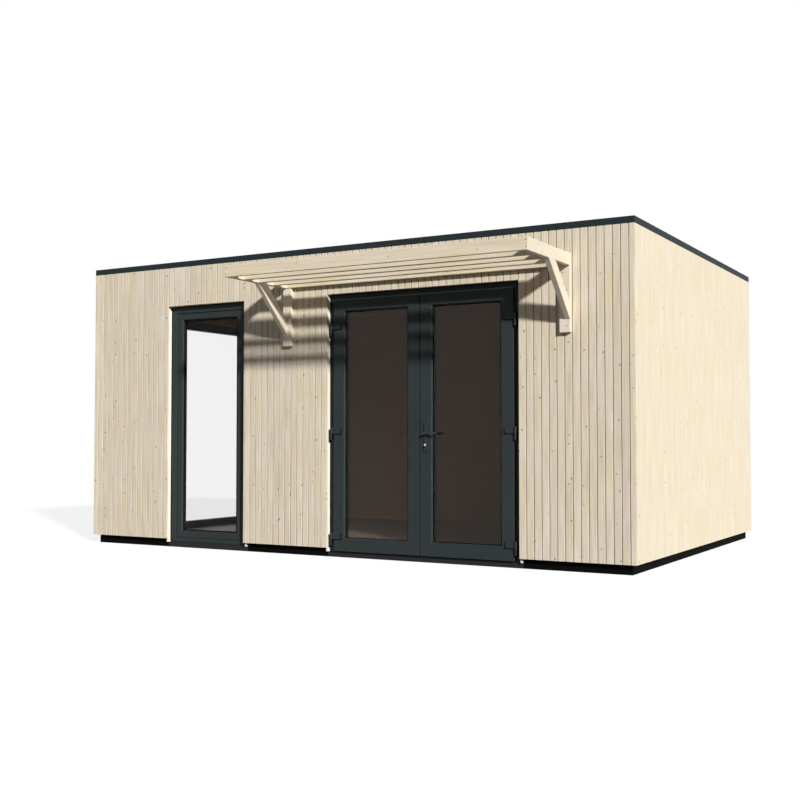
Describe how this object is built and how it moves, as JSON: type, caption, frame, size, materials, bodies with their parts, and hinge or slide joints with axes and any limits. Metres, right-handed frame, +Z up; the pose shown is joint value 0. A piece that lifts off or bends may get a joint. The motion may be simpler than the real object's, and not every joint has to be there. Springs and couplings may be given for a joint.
{
  "type": "garden office pod",
  "caption": "Flat-roofed timber garden room with upright boards, a tall narrow window, glazed double doors under a braced slatted canopy, and a wide side window.",
  "frame": {"origin": "on the ground under the middle of the building's plan", "axes": "+X along the front to the right as seen from outside, +Y from the front to the back, +Z up; the front with the doors faces -Y"},
  "size_m": [5.12, 4.247, 2.5],
  "materials": {
    "cladding_timber": "planed, unpainted softwood boards",
    "canopy_timber": "planed, unpainted softwood",
    "wall_panel": "insulated timber panel, painted inside",
    "floor_boards": "satin boards",
    "plinth_black": "matt black",
    "anthracite_coating": "satin powder coat",
    "black_hardware": "satin black",
    "bright_steel": "brushed",
    "roof_rubber": "matt rubber sheet",
    "window_glass": "clear sealed glazing",
    "door_glass": "clear sealed glazing"
  },
  "bodies": {
    "building": {"floor": "floor_boards", "plinth_front": "plinth_black", "plinth_back": "plinth_black", "plinth_sides": "plinth_black", "wall_front_left": "wall_panel", "wall_front_middle": "wall_panel", "wall_front_right": "wall_panel", "wall_heads": "wall_panel", "wall_back": "wall_panel", "wall_right": "wall_panel", "wall_left": "wall_panel", "cladding_front": "cladding_timber", "cladding_left": "cladding_timber", "cladding_right": "cladding_timber", "cladding_back": "cladding_timber", "roof_panel": "wall_panel", "roof_membrane": "roof_rubber", "trim_front": "anthracite_coating", "trim_back": "anthracite_coating", "trim_left": "anthracite_coating", "trim_right": "anthracite_coating", "opening_linings": "cladding_timber", "window_sills": "anthracite_coating", "window_frame": "anthracite_coating", "window_sash": "anthracite_coating", "window_glass": "window_glass", "side_window_frame": "anthracite_coating", "side_window_glass": "window_glass", "door_frame": "anthracite_coating", "door_threshold": "anthracite_coating", "door_hinge_pins": "black_hardware", "canopy_fascia": "canopy_timber", "canopy_slats": "canopy_timber", "canopy_arms": "canopy_timber", "canopy_wall_plates": "canopy_timber", "canopy_braces": "canopy_timber"},
    "right_door": {"right_door_leaf": "anthracite_coating", "right_door_glass": "door_glass", "right_door_hinges": "black_hardware", "handle_plates": "black_hardware", "lock_cylinder": "bright_steel"},
    "left_door": {"left_door_leaf": "anthracite_coating", "left_door_glass": "door_glass", "left_door_hinges": "black_hardware"},
    "door_handle": {"door_levers": "black_hardware"}
  },
  "joints": [
    {"name": "right_door_hinge", "type": "hinge", "parent": "building", "child": "right_door", "pos_m": [1.647, -1.7165, 0.05], "axis": [0, 0, 1], "range_deg": [0, 100]},
    {"name": "left_door_hinge", "type": "hinge", "parent": "building", "child": "left_door", "pos_m": [0.033, -1.7165, 0.05], "axis": [0, 0, -1], "range_deg": [0, 100]},
    {"name": "door_lever", "type": "hinge", "parent": "right_door", "child": "door_handle", "pos_m": [0.9, -1.7085, 0.99], "axis": [0, 1, 0], "range_deg": [0, 40], "stiffness_Nm_per_rad": 0.6, "springref_deg": -45.84}
  ]
}
